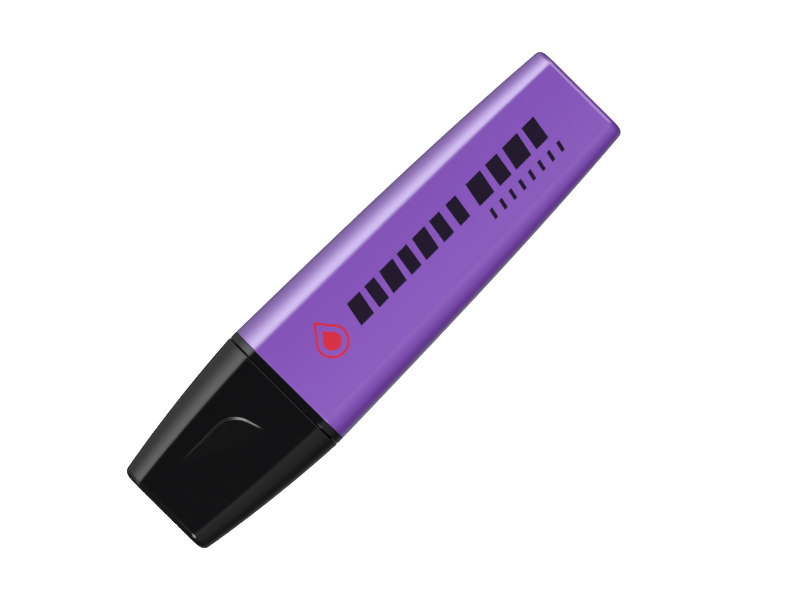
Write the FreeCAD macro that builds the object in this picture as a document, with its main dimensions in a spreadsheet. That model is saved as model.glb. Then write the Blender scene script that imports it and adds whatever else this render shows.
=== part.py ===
"""Flat wedge highlighter: barrel, front section, nib, ink reservoir and its film, cap and cap liner.

Frame: X runs along the pen, from the closed end of the cap at -X to the tail at +X. Z is up through
the broad faces and Y is across them. The origin is under the middle of the pen, level with its
lowest line. Lengths are in millimetres. Every piece is drawn about the pen's axis and its placement
then lifts it by half of the body's thickness.
"""

import FreeCAD
import Part
import math
import os

import Sketcher

SIZES = {
    # outside
    "overall_length": 105.0,
    "body_width": 26.7,
    "body_thick": 17.0,
    "body_corner": 5.0,
    "tail_width": 20.75,
    "tail_thick": 13.4,
    "tail_corner": 3.3,
    "tail_round": 1.0,
    "cap_length": 30.1,
    "cap_lip_width": 26.8,
    "cap_end_width": 19.8,
    "cap_end_thick": 13.0,
    "cap_lip_corner": 5.0,
    "cap_end_corner": 3.6,
    "cap_round": 1.0,
    "collar_length": 1.45,
    "lip_gap": 0.15,
    "face_skim": 0.012,
    # walls
    "barrel_wall": 1.5,
    "tail_floor": 1.8,
    "cap_wall": 1.4,
    "cap_floor": 1.6,
    "rib_thick": 1.0,
    "rib_pitch": 5.0,
    # finger recess in each broad face of the cap
    "recess_depth": 0.22,
    "recess_setback": 9.0,
    "recess_offset": 4.2,
    "recess_run": 15.5,
    "recess_drop": 8.6,
    "recess_slant": 17.6,
    "recess_bend": 4.9,
    # front section
    "plug_depth": 9.0,
    "plug_clear": 0.02,
    "neck_clear": 0.2,
    "bead_length": 0.8,
    "bead_setback": 2.6,
    "bead_clear": 0.04,
    "shoulder_length": 4.0,
    "seal_length": 4.5,
    "seal_clear": 0.04,
    "seal_corner": 2.6,
    "snout_length": 4.2,
    "snout_step": 0.3,
    "snout_draft": 0.8,
    "snout_corner": 1.8,
    "chamber_wall": 1.3,
    "seat_wall": 1.5,
    "vent_width": 0.8,
    # nib
    "nib_width": 5.0,
    "nib_thick": 3.2,
    "nib_reach": 5.2,
    "nib_edge": 1.0,
    "nib_bevel": 2.4,
    "nib_slant": 30.0,
    "nib_soak": 5.0,
    # ink reservoir
    "core_width": 16.4,
    "core_thick": 9.0,
    "core_corner": 4.2,
    "film_thick": 0.15,
    "core_clear": 0.1,
    "core_tail_gap": 3.0,
    "stop_grip": 1.6,
    # cap liner
    "liner_width": 12.6,
    "liner_wall": 0.8,
    "liner_floor": 0.8,
    "liner_room": 0.1,
    "liner_corner": 3.4,
    "liner_lead": 0.4,
    "tip_gap": 2.6,
}

doc = FreeCAD.newDocument("highlighter")
sheet = doc.addObject("Spreadsheet::Sheet", "Sizes")
for row, (alias, number) in enumerate(SIZES.items(), start=1):
    sheet.set(f"A{row}", alias)
    sheet.set(f"B{row}", str(number))
    sheet.setAlias(f"B{row}", alias)
doc.recompute()


def size(alias):
    """A size from the sheet, as the text of an expression."""
    return f"Sizes.{alias}"


# Places along the axis, and lengths that the driving sizes leave over, as expressions.
TAIL_X = f"({size('overall_length')} / 2)"
CAP_END_X = f"(-{size('overall_length')} / 2)"
LIP_X = f"({CAP_END_X} + {size('cap_length')})"
COLLAR_X = f"({LIP_X} + {size('lip_gap')})"
FRONT_X = f"({COLLAR_X} + {size('collar_length')})"
BARREL_LENGTH = f"({TAIL_X} - {FRONT_X})"
PLUG_X = f"({FRONT_X} + {size('plug_depth')})"
CAP_FLOOR_X = f"({CAP_END_X} + {size('cap_floor')})"
TIP_X = f"({CAP_FLOOR_X} + {size('liner_floor')} + {size('tip_gap')})"
SNOUT_X = f"({TIP_X} + {size('nib_reach')})"
SEAL_X = f"({SNOUT_X} + {size('snout_length')})"
SHOULDER_X = f"({SEAL_X} + {size('seal_length')})"
NECK_X = f"({SHOULDER_X} + {size('shoulder_length')})"
SEAT_X = f"({NECK_X} + {size('seat_wall')})"
CORE_END_X = f"({TAIL_X} - {size('tail_floor')} - {size('core_tail_gap')})"
NIB_END_X = f"({SEAT_X} + {size('nib_soak')})"
LINER_MOUTH_X = f"({SHOULDER_X} - {size('liner_lead')})"
FACE_SLOPE = f"(({size('body_thick')} - {size('tail_thick')}) / 2 / {BARREL_LENGTH})"
CAP_SLOPE = f"(({size('body_thick')} - {size('cap_end_thick')}) / 2 / {size('cap_length')})"
LIFT = f"{size('body_thick')} / 2"

# Cross-sections of the straight pieces: width, thickness and corner radius.
LINER_THICK = f"({size('cap_end_thick')} - 2 * {size('cap_wall')} - 2 * {size('liner_room')})"
LINER = (size("liner_width"), LINER_THICK, size("liner_corner"))
CORE = (size("core_width"), size("core_thick"), size("core_corner"))
NIB = (size("nib_width"), size("nib_thick"))


def grown(section_sizes, amount):
    """The same section with its outline moved outwards by an amount all round."""
    width, thick, corner = section_sizes
    return (f"({width} + 2 * ({amount}))", f"({thick} + 2 * ({amount}))", f"({corner} + ({amount}))")


FILM = grown(CORE, size("film_thick"))
CORE_ROOM = grown(FILM, size("core_clear"))
LINER_BORE = grown(LINER, f"-{size('liner_wall')}")
SEAL = (
    f"({LINER_BORE[0]} - 2 * {size('seal_clear')})",
    f"({LINER_BORE[1]} - 2 * {size('seal_clear')})",
    size("seal_corner"),
)
SNOUT_BASE = grown(SEAL, f"-{size('snout_step')}")
SNOUT_TIP = grown(SNOUT_BASE, f"-{size('snout_draft')}")
CHAMBER = grown(SEAL, f"-{size('chamber_wall')}")
STOP_REACH = f"({CORE_ROOM[0]} / 2 - {size('stop_grip')})"


def value(expression):
    """The number that an expression gives."""
    return float(sheet.evalExpression(expression))


def barrel_section(place):
    """The barrel's outline at a place on the axis: the sides bow inwards faster towards the tail."""
    part_way = f"(({place} - {FRONT_X}) / {BARREL_LENGTH})"
    share = f"(({part_way} + {part_way} ^ 3) / 2)"
    return (
        f"({size('body_width')} - ({size('body_width')} - {size('tail_width')}) * {share})",
        f"({size('body_thick')} - ({size('body_thick')} - {size('tail_thick')}) * {part_way})",
        f"({size('body_corner')} - ({size('body_corner')} - {size('tail_corner')}) * {share})",
    )


def cap_section(place):
    """The cap's outline at a place on the axis: gently convex sides from the lip to the closed end."""
    part_way = f"(({LIP_X} - {place}) / {size('cap_length')})"
    share = f"(({part_way} + {part_way} ^ 2) / 2)"
    return (
        f"({size('cap_lip_width')} - ({size('cap_lip_width')} - {size('cap_end_width')}) * {share})",
        f"({size('body_thick')} - ({size('body_thick')} - {size('cap_end_thick')}) * {part_way})",
        f"({size('cap_lip_corner')} - ({size('cap_lip_corner')} - {size('cap_end_corner')}) * {share})",
    )


def between(start, end, count):
    """Places spread evenly from start to end, both included."""
    return [f"({start} + ({end} - {start}) * {step} / {count - 1})" for step in range(count)]


def origin_plane(body, role):
    """One of a body's own origin planes."""
    return next(item for item in body.Origin.OriginFeatures if item.Role == role)


def new_body(name):
    return doc.addObject("PartDesign::Body", name)


def new_sketch(body, name, role):
    sketch = body.newObject("Sketcher::SketchObject", name)
    sketch.AttachmentSupport = [(origin_plane(body, role), "")]
    sketch.MapMode = "FlatFace"
    return sketch


def bind(sketch, label, expression, *constraint):
    """Adds a dimension to a sketch and ties it to an expression."""
    index = sketch.addConstraint(Sketcher.Constraint(*constraint))
    sketch.renameConstraint(index, label)
    sketch.setExpression(f"Constraints.{label}", expression)


def across(body, name, place, section_sizes):
    """A rounded rectangle across the pen's axis, centred on it, at a place along it."""
    width, thick, corner = section_sizes
    half_width = value(width) / 2
    half_thick = value(thick) / 2
    radius = value(corner)
    sketch = new_sketch(body, name, "YZ_Plane")
    sketch.setExpression("AttachmentOffset.Base.z", place)
    for turn in range(4):
        # side by side: a straight edge, then the corner that follows it anticlockwise
        wide = turn % 2 == 0
        reach = half_thick if wide else half_width
        half_edge = (half_width if wide else half_thick) - radius
        spin = FreeCAD.Rotation(FreeCAD.Vector(0, 0, 1), 90 * turn)
        start = spin.multVec(FreeCAD.Vector(-half_edge, -reach, 0))
        end = spin.multVec(FreeCAD.Vector(half_edge, -reach, 0))
        centre = spin.multVec(FreeCAD.Vector(half_edge, -reach + radius, 0))
        sketch.addGeometry(Part.LineSegment(start, end))
        circle = Part.Circle(centre, FreeCAD.Vector(0, 0, 1), radius)
        first = math.radians(90 * turn - 90)
        sketch.addGeometry(Part.ArcOfCircle(circle, first, first + math.pi / 2))
    bottom, right, top, left = 0, 2, 4, 6
    start_point, end_point = 1, 2
    for edge in range(8):
        sketch.addConstraint(
            Sketcher.Constraint("Tangent", edge, end_point, (edge + 1) % 8, start_point)
        )
    for corner_arc in (3, 5, 7):
        sketch.addConstraint(Sketcher.Constraint("Equal", 1, corner_arc))
    vertical_axis = -2
    horizontal_axis = -1
    sketch.addConstraint(
        Sketcher.Constraint("Symmetric", bottom, start_point, bottom, end_point, vertical_axis)
    )
    sketch.addConstraint(
        Sketcher.Constraint("Symmetric", right, start_point, right, end_point, horizontal_axis)
    )
    bind(sketch, "width", width, "DistanceX", left, end_point, right, start_point, 2 * half_width)
    bind(sketch, "thick", thick, "DistanceY", bottom, end_point, top, start_point, 2 * half_thick)
    bind(sketch, "corner", corner, "Radius", 1, radius)
    return sketch


def loft(body, kind, name, stations):
    """A smooth skin through sections of the body, as (place, sizes) pairs."""
    sketches = [across(body, f"{name}_{i}", place, sizes) for i, (place, sizes) in enumerate(stations)]
    feature = body.newObject(f"PartDesign::{kind}", name)
    feature.Profile = sketches[0]
    feature.Sections = sketches[1:]
    feature.Ruled = False
    for sketch in sketches:
        sketch.Visibility = False
    doc.recompute()
    return feature


def prism(body, name, start, end, section_sizes):
    """A straight length of one section, added to the body."""
    sketch = across(body, f"{name}_outline", start, section_sizes)
    pad = body.newObject("PartDesign::Pad", name)
    pad.Profile = sketch
    pad.setExpression("Length", f"{end} - {start}")
    doc.recompute()
    return pad


def bore(body, name, start, end, section_sizes):
    """A straight length of one section, taken out of the body."""
    sketch = across(body, f"{name}_outline", start, section_sizes)
    before = body.Shape.Volume
    pocket = body.newObject("PartDesign::Pocket", name)
    pocket.Profile = sketch
    pocket.Reversed = True
    pocket.setExpression("Length", f"{end} - {start}")
    doc.recompute()
    if body.Shape.Volume >= before:
        raise RuntimeError(f"{name} takes nothing away")
    return pocket


def outline(body, name, role, points):
    """A closed polygon on one of the body's origin planes, from pairs of expressions."""
    sketch = new_sketch(body, name, role)
    corners = [FreeCAD.Vector(value(first), value(second), 0) for first, second in points]
    count = len(points)
    for i in range(count):
        sketch.addGeometry(Part.LineSegment(corners[i], corners[(i + 1) % count]))
    for i in range(count):
        sketch.addConstraint(Sketcher.Constraint("Coincident", i, 2, (i + 1) % count, 1))
    for i, point in enumerate(points):
        for kind, expression in zip(("DistanceX", "DistanceY"), point):
            bind(sketch, f"{kind}_{i}", expression, kind, -1, 1, i, 1, value(expression))
    return sketch


def slice_off(body, name, role, points):
    """Takes away everything that stands over a polygon, both ways from its plane."""
    sketch = outline(body, f"{name}_outline", role, points)
    before = body.Shape.Volume
    pocket = body.newObject("PartDesign::Pocket", name)
    pocket.Profile = sketch
    pocket.Midplane = True
    pocket.Type = "ThroughAll"
    doc.recompute()
    if body.Shape.Volume >= before:
        raise RuntimeError(f"{name} takes nothing away")
    return pocket


def round_end(body, name, place, radius):
    """Rounds the edges of the body that lie in one plane across the axis."""
    feature = body.Tip
    x = value(place)
    rim = []
    for number, edge in enumerate(feature.Shape.Edges, start=1):
        if abs(edge.BoundBox.XMin - x) < 1e-4 and abs(edge.BoundBox.XMax - x) < 1e-4:
            rim.append(f"Edge{number}")
    fillet = body.newObject("PartDesign::Fillet", name)
    fillet.Base = (feature, rim)
    fillet.setExpression("Radius", radius)
    doc.recompute()
    return fillet


def flatten(body, name, start, start_half, end, end_half):
    """Gives the body two true flat broad faces: a thin skim off the top and the bottom."""
    clear = size("body_thick")
    for side, sign in (("upper", ""), ("lower", "-")):
        points = [
            (start, f"{sign}({start_half})"),
            (end, f"{sign}({end_half})"),
            (end, f"{sign}{clear}"),
            (start, f"{sign}{clear}"),
        ]
        slice_off(body, f"{name}_{side}", "XZ_Plane", points)


def block(name, low, high):
    """A box between two corners, given as expressions."""
    box = doc.addObject("Part::Box", name)
    for prop, axis, start, end in zip(("Length", "Width", "Height"), "xyz", low, high):
        box.setExpression(prop, f"({end}) - ({start})")
        box.setExpression(f"Placement.Base.{axis}", start)
    return box


def cut(name, base, tool):
    result = doc.addObject("Part::Cut", name)
    result.Base = base
    result.Tool = tool
    return result


def gather(name, shapes):
    result = doc.addObject("Part::MultiFuse", name)
    result.Shapes = shapes
    return result


# --------------------------------------------------------------------------------------------- barrel
def broad_half(place, slope, from_place):
    """Half the thickness between the flat faces at a place, with the skim taken off."""
    return f"{size('body_thick')} / 2 - {size('face_skim')} - {slope} * ({place} - {from_place})"


def make_barrel():
    """One moulding with a closed tail, and ribs inside that hold the ink reservoir off its walls."""
    shell = new_body("barrel_shell")
    stations = between(FRONT_X, TAIL_X, 6)
    loft(shell, "AdditiveLoft", "barrel_skin", [(x, barrel_section(x)) for x in stations])
    before, behind = f"({FRONT_X} - 1)", f"({TAIL_X} + 1)"
    flatten(
        shell, "barrel_face",
        before, broad_half(before, FACE_SLOPE, FRONT_X),
        behind, broad_half(behind, FACE_SLOPE, FRONT_X),
    )
    round_end(shell, "tail_rounding", TAIL_X, size("tail_round"))

    floor_x = f"({TAIL_X} - {size('tail_floor')})"
    space = new_body("barrel_space")
    inside = [(x, grown(barrel_section(x), f"-{size('barrel_wall')}")) for x in between(FRONT_X, floor_x, 6)]
    loft(space, "AdditiveLoft", "barrel_hollow", inside)

    rib_start = f"({PLUG_X} + {size('plug_clear')})"
    half_rib = f"{size('rib_thick')} / 2"
    far = size("body_width")
    ribs = []
    for row in (-1, 1):
        for column in (-1, 0, 1):
            middle = f"{column} * {size('rib_pitch')}"
            near_z, far_z = sorted_pair(row, f"{CORE_ROOM[1]} / 2", far)
            low = (rib_start, f"{middle} - {half_rib}", near_z)
            high = (floor_x, f"{middle} + {half_rib}", far_z)
            ribs.append(block(f"broad_rib_{len(ribs)}", low, high))
    for row in (-1, 1):
        # a rib along each narrow side, and behind the reservoir a stop that reaches further in
        for start, reach in ((rib_start, f"{CORE_ROOM[0]} / 2"), (CORE_END_X, STOP_REACH)):
            near_y, far_y = sorted_pair(row, reach, far)
            low = (start, near_y, f"-{half_rib}")
            high = (floor_x, far_y, half_rib)
            ribs.append(block(f"side_rib_{len(ribs)}", low, high))
    hollow = cut("barrel_room", space, gather("barrel_ribs", ribs))
    room = new_body("reservoir_room")
    prism(room, "room", PLUG_X, CORE_END_X, CORE_ROOM)
    return cut("barrel", shell, gather("barrel_inside", [hollow, room]))


def sorted_pair(sign, near, far):
    """The lower and the upper end of a stretch that lies on one side of the axis."""
    if sign > 0:
        return near, far
    return f"-({far})", f"-({near})"


# -------------------------------------------------------------------------------------- front section
def make_front_section():
    """The collar that shows, a plug behind it, and in front of it a neck, a seal and a snout."""
    body = new_body("front_section")
    inwards = f"-{size('barrel_wall')} - {size('plug_clear')}"
    plug = [(x, grown(barrel_section(x), inwards)) for x in (FRONT_X, PLUG_X)]
    loft(body, "AdditiveLoft", "plug", plug)
    prism(body, "collar", COLLAR_X, FRONT_X, barrel_section(FRONT_X))
    neck = [
        (x, grown(cap_section(x), f"-{size('cap_wall')} - {size('neck_clear')}"))
        for x in between(NECK_X, COLLAR_X, 3)
    ]
    loft(body, "AdditiveLoft", "neck", neck)
    bead_x = f"({LIP_X} - {size('bead_setback')} - {size('bead_length')})"
    bead = grown(cap_section(bead_x), f"-{size('cap_wall')} - {size('bead_clear')}")
    prism(body, "snap_bead", bead_x, f"({bead_x} + {size('bead_length')})", bead)
    loft(body, "AdditiveLoft", "shoulder", [(SHOULDER_X, SEAL), neck[0]])
    prism(body, "seal", SEAL_X, SHOULDER_X, SEAL)
    snout_tip = (SNOUT_TIP[0], SNOUT_TIP[1], size("snout_corner"))
    snout_base = (SNOUT_BASE[0], SNOUT_BASE[1], size("snout_corner"))
    loft(body, "AdditiveLoft", "snout", [(SNOUT_X, snout_tip), (SEAL_X, snout_base)])
    bore(body, "reservoir_seat", SEAT_X, PLUG_X, CORE_ROOM)
    bore(body, "ink_chamber", SEAL_X, SEAT_X, CHAMBER)

    half_width = f"{NIB[0]} / 2"
    half_thick = f"{NIB[1]} / 2"
    half_vent = f"{size('vent_width')} / 2"
    socket = block(
        "nib_socket",
        (f"{SNOUT_X} - 1", f"-{half_width}", f"-{half_thick}"),
        (f"{SEAL_X} + 1", half_width, half_thick),
    )
    vents = block(
        "vent_slots",
        (f"{SNOUT_X} - 1", f"-{half_width} - {size('vent_width')}", f"-{half_vent}"),
        (f"{SEAL_X} + 1", f"{half_width} + {size('vent_width')}", half_vent),
    )
    body.Label = "front_section_solid"
    section = cut("front_section_cut", body, gather("snout_openings", [socket, vents]))
    section.Label = "front_section"
    return section


# ------------------------------------------------------------------------------------------------ nib
def make_nib():
    """A porous bar with a slanted chisel edge. Its other end stands in the ink reservoir."""
    body = new_body("nib")
    corner = f"({size('nib_edge')} / 3)"
    prism(body, "nib_bar", TIP_X, NIB_END_X, (NIB[0], NIB[1], corner))
    half = f"{NIB[0]} / 2"
    low = f"({TIP_X} - 1)"
    slant_depth = f"({NIB[0]} + 2) * tan({size('nib_slant')})"
    slice_off(
        body, "slanted_tip", "XY_Plane",
        [
            (low, f"-{half} - 1"),
            (f"{TIP_X} - tan({size('nib_slant')})", f"-{half} - 1"),
            (f"{TIP_X} + {slant_depth} - tan({size('nib_slant')})", f"{half} + 1"),
            (low, f"{half} + 1"),
        ],
    )
    for side, sign in (("upper", ""), ("lower", "-")):
        slice_off(
            body, f"chisel_{side}", "XZ_Plane",
            [
                (low, f"{sign}({size('nib_edge')} / 2)"),
                (TIP_X, f"{sign}({size('nib_edge')} / 2)"),
                (f"{TIP_X} + {size('nib_bevel')}", f"{sign}({NIB[1]} / 2)"),
                (f"{TIP_X} + {size('nib_bevel')}", f"{sign}({NIB[1]})"),
                (low, f"{sign}({NIB[1]})"),
            ],
        )
    return body


# ------------------------------------------------------------------------------------------ reservoir
def make_reservoir():
    """A pad of fibre that holds the ink, and the film sleeve around it."""
    core = new_body("reservoir_core")
    prism(core, "fibre_pad", SEAT_X, CORE_END_X, CORE)
    bore(core, "nib_slot", SEAT_X, NIB_END_X, (NIB[0], NIB[1], f"({size('nib_edge')} / 3)"))
    film = new_body("reservoir_wrap")
    prism(film, "sleeve", SEAT_X, CORE_END_X, FILM)
    bore(film, "sleeve_bore", SEAT_X, CORE_END_X, CORE)
    return core, film


# ------------------------------------------------------------------------------------------------ cap
def recess_tool(number, side):
    """The finger recess as a solid: a flat floor that slopes down from a diagonal to a bent step."""
    edge_y = value(size("recess_offset")) * side
    corner_x = value(f"{LIP_X} - {size('recess_setback')}")
    run = value(size("recess_run"))
    drop = value(size("recess_drop"))
    slant = math.radians(value(size("recess_slant")))
    bend = value(size("recess_bend"))
    depth = value(size("recess_depth"))

    def on_face(x, y, below=0.0):
        half = value(f"{size('body_thick')} / 2 - {CAP_SLOPE} * ({LIP_X} - ({x}))")
        return FreeCAD.Vector(x, y, (half - below) * side)

    def level(point):
        return FreeCAD.Vector(point.x, point.y, 0)

    fade = on_face(corner_x - run, edge_y)
    heel = on_face(corner_x + drop * math.tan(slant), edge_y - drop * side)
    corner = on_face(corner_x, edge_y, depth)

    # plan outline, with the bend between its two straight edges
    along = (level(fade) - level(corner)).normalize()
    down = (level(heel) - level(corner)).normalize()
    opening = along.getAngle(down)
    reach = bend / math.tan(opening / 2)
    middle = level(corner) + (along + down).normalize() * (bend / math.sin(opening / 2))
    first = level(corner) + along * reach
    last = level(corner) + down * reach
    nearest = middle + (level(corner) - middle).normalize() * bend
    edges = [
        Part.LineSegment(level(fade), first).toShape(),
        Part.Arc(first, nearest, last).toShape(),
        Part.LineSegment(last, level(heel)).toShape(),
        Part.LineSegment(level(heel), level(fade)).toShape(),
    ]
    up = FreeCAD.Vector(0, 0, value(size("body_thick")) * side)
    column = Part.Face(Part.Wire(edges)).extrude(up)

    # everything over the sloping floor
    middle = (fade + heel + corner) * (1 / 3)
    floor = [middle + (point - middle) * 3 for point in (fade, heel, corner)]
    over_floor = Part.Face(Part.makePolygon(floor + floor[:1])).extrude(up)

    tool = doc.addObject("Part::Feature", f"recess_{number}")
    tool.Shape = column.common(over_floor)
    return tool


def make_cap():
    """The cap's shell, with a recess in each broad face and ribs inside that hold the liner."""
    shell = new_body("cap_solid")
    stations = between(CAP_END_X, LIP_X, 5)
    loft(shell, "AdditiveLoft", "cap_skin", [(x, cap_section(x)) for x in stations])
    before, behind = f"({CAP_END_X} - 1)", f"({LIP_X} + 1)"
    flatten(
        shell, "cap_face",
        before, broad_half(LIP_X, CAP_SLOPE, before),
        behind, broad_half(LIP_X, CAP_SLOPE, behind),
    )
    round_end(shell, "cap_rounding", CAP_END_X, size("cap_round"))

    space = new_body("cap_space")
    inside = [(x, grown(cap_section(x), f"-{size('cap_wall')}")) for x in between(CAP_FLOOR_X, LIP_X, 5)]
    loft(space, "AdditiveLoft", "cap_hollow", inside)

    half_rib = f"{size('rib_thick')} / 2"
    far = size("body_width")
    ribs = []
    for row in (-1, 1):
        near_y, far_y = sorted_pair(row, f"{LINER[0]} / 2", far)
        near_z, far_z = sorted_pair(row, f"{LINER[1]} / 2", far)
        for low, high in (
            ((CAP_FLOOR_X, near_y, f"-{half_rib}"), (LINER_MOUTH_X, far_y, half_rib)),
            ((CAP_FLOOR_X, f"-{half_rib}", near_z), (LINER_MOUTH_X, half_rib, far_z)),
        ):
            ribs.append(block(f"liner_rib_{len(ribs)}", low, high))
    hollow = cut("cap_room", space, gather("cap_ribs", ribs))
    recesses = [recess_tool(number, side) for number, side in enumerate((1, -1))]
    cap = cut("cap_shell", shell, gather("cap_cuts", [hollow] + recesses))

    liner = new_body("inner_cap")
    prism(liner, "liner_cup", CAP_FLOOR_X, LINER_MOUTH_X, LINER)
    liner_inside = f"({CAP_FLOOR_X} + {size('liner_floor')})"
    bore(liner, "liner_bore", liner_inside, LINER_MOUTH_X, LINER_BORE)
    return cap, liner


barrel = make_barrel()
front_section = make_front_section()
nib = make_nib()
reservoir_core, reservoir_wrap = make_reservoir()
cap_shell, inner_cap = make_cap()

pieces = [barrel, front_section, nib, reservoir_core, reservoir_wrap, cap_shell, inner_cap]
for piece in pieces:
    piece.setExpression("Placement.Base.z", LIFT)
doc.recompute()

for item in doc.Objects:
    if "Invalid" in item.State or "Error" in item.State:
        raise RuntimeError(f"{item.Name} failed: {item.State}")
for piece in pieces:
    if piece.Shape.isNull() or not piece.Shape.isValid():
        raise RuntimeError(f"{piece.Label} has no valid shape")

os.makedirs("parts", exist_ok=True)
for piece in pieces:
    piece.Shape.exportStep(f"parts/{piece.Label}.step")
    box = piece.Shape.BoundBox
    print(piece.Label, len(piece.Shape.Solids), round(piece.Shape.Volume, 1), "mm3", box)
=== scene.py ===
"""Looks of a flat wedge highlighter: purple barrel, black cap and collar, chisel nib, printed marks.

Lengths are written in millimetres and turned into metres by MM. X runs along the pen from the closed
end of the cap to the tail, Y across its broad faces and Z up through them.
"""

import math

import bmesh
import bpy
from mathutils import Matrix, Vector


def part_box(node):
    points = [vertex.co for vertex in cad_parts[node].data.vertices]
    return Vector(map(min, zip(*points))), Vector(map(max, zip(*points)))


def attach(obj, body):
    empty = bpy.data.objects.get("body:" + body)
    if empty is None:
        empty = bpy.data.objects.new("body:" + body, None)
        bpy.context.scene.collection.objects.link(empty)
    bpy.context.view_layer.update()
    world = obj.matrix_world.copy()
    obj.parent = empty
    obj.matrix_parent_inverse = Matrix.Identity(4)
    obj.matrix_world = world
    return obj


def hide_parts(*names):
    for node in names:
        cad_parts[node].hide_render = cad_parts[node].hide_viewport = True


MM = 0.001

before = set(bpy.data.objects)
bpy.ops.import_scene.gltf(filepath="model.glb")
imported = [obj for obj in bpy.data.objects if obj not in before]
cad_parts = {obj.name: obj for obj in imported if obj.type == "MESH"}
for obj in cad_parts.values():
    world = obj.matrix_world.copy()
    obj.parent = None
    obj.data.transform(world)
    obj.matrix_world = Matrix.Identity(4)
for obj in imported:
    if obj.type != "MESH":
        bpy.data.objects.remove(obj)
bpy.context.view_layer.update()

# ------------------------------------------------------------------------------------ sizes and places
barrel_low, barrel_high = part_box("barrel")
cap_low, cap_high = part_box("cap_shell")
front_low, front_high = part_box("front_section")
nib_low, nib_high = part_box("nib")
liner_low, liner_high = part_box("inner_cap")
film_low, film_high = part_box("reservoir_wrap")

FRONT_X, TAIL_X = barrel_low[0], barrel_high[0]
CAP_END_X, LIP_X = cap_low[0], cap_high[0]
BODY_WIDTH = barrel_high[1] - barrel_low[1]
BODY_THICK = barrel_high[2] - barrel_low[2]
LIP_WIDTH = cap_high[1] - cap_low[1]
AXIS_Z = BODY_THICK / 2

BODY_CORNER = 5.0 * MM
TAIL_WIDTH, TAIL_THICK, TAIL_CORNER = 20.75 * MM, 13.4 * MM, 3.3 * MM
END_WIDTH, END_THICK, END_CORNER = 19.8 * MM, 13.0 * MM, 3.6 * MM
LIP_CORNER = 5.0 * MM
BARREL_WALL, TAIL_FLOOR, CAP_WALL, CAP_FLOOR = 1.5 * MM, 1.8 * MM, 1.4 * MM, 1.6 * MM
TAIL_ROUND, CAP_ROUND, EDGE_BREAK, LIP_ROUND = 1.15 * MM, 1.15 * MM, 0.14 * MM, 0.3 * MM
LIP_GAP = 0.15 * MM
RIB_THICK, RIB_PITCH, RIB_SINK, RIB_BREAK = 1.0 * MM, 5.0 * MM, 0.4 * MM, 0.12 * MM
STOP_GRIP = 1.6 * MM
COLLAR_X = LIP_X + LIP_GAP

# Front section, from its snout back to its plug.
SNOUT_LENGTH, SEAL_LENGTH, SHOULDER_LENGTH, SEAT_WALL = 4.2 * MM, 4.5 * MM, 4.0 * MM, 1.5 * MM
SNOUT_STEP, SNOUT_DRAFT, SNOUT_CORNER, SNOUT_ROUND = 0.3 * MM, 0.8 * MM, 1.8 * MM, 0.3 * MM
SEAL_INSET, SEAL_CORNER, SEAL_ROUND = 0.84 * MM, 2.6 * MM, 0.25 * MM
BEAD_SETBACK = 3.4 * MM
NECK_CLEAR, PLUG_CLEAR, CORE_CLEAR, SOCKET_CLEAR = 0.2 * MM, 0.02 * MM, 0.1 * MM, 0.03 * MM
CORE_ROOM_CORNER, SOCKET_CORNER, SOCKET_LEAD = 4.45 * MM, 0.35 * MM, 0.12 * MM
CHAMBER_WALL, CHAMBER_CORNER = 1.3 * MM, 1.3 * MM
SHOULDER_INSET, SHOULDER_SWEEP = 2.2 * MM, 0.8
VENT_WIDTH = 0.8 * MM

# Nib.
NIB_SLANT, NIB_BEVEL, NIB_EDGE, NIB_SOFTNESS = math.radians(30), 2.4 * MM, 1.0 * MM, 0.28 * MM

RECESS_DEPTH, RECESS_SETBACK, RECESS_OFFSET = 0.22 * MM, 9.0 * MM, 4.2 * MM
RECESS_RUN, RECESS_DROP, RECESS_BEND = 15.5 * MM, 8.6 * MM, 4.9 * MM
RECESS_SLANT = math.radians(17.6)
RECESS_WALL = 0.45 * MM
FLOOR_EASE = 0.1


def barrel_section(x):
    """Width, thickness and corner radius of the barrel: its sides bow in faster towards the tail."""
    part_way = (x - FRONT_X) / (TAIL_X - FRONT_X)
    share = (part_way + part_way**3) / 2
    return (
        BODY_WIDTH + (TAIL_WIDTH - BODY_WIDTH) * share,
        BODY_THICK + (TAIL_THICK - BODY_THICK) * part_way,
        BODY_CORNER + (TAIL_CORNER - BODY_CORNER) * share,
    )


def cap_section(x):
    """Width, thickness and corner radius of the cap, from its lip to its closed end."""
    part_way = (LIP_X - x) / (LIP_X - CAP_END_X)
    share = (part_way + part_way**2) / 2
    return (
        LIP_WIDTH + (END_WIDTH - LIP_WIDTH) * share,
        BODY_THICK + (END_THICK - BODY_THICK) * part_way,
        LIP_CORNER + (END_CORNER - LIP_CORNER) * share,
    )


# ------------------------------------------------------------------------------------- mesh building
def spread(start, end, steps):
    """Evenly spaced values from start to end, both included."""
    return [start + (end - start) * i / steps for i in range(steps + 1)]


def edge_stops(steps, lead=0.03):
    """Places along a straight edge from -1 to 1, with a narrow strip at each end to keep it flat."""
    return [-1.0] + spread(-1 + lead, 1 - lead, steps) + [1.0]


def outline(width, thick, corner, broad=edge_stops(12), narrow=edge_stops(6), arc=10):
    """Points (y, z) of a rounded rectangle, anticlockwise from its lower edge."""
    corner = max(corner, 0.02 * MM)
    edge_y, edge_z = width / 2 - corner, thick / 2 - corner
    points = []
    runs = (
        (broad, edge_y, thick / 2, edge_z),
        (narrow, edge_z, width / 2, edge_y),
        (broad, edge_y, thick / 2, edge_z),
        (narrow, edge_z, width / 2, edge_y),
    )
    for turn, (stops, half_edge, reach, across) in enumerate(runs):
        cos, sin = (1, 0, -1, 0)[turn], (0, 1, 0, -1)[turn]
        local = [(stop * half_edge, -reach) for stop in stops]
        for i in range(1, arc):
            angle = math.pi / 2 * i / arc
            local.append((half_edge + corner * math.sin(angle), -across - corner * math.cos(angle)))
        points += [(y * cos - z * sin, y * sin + z * cos) for y, z in local]
    return points


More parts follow.
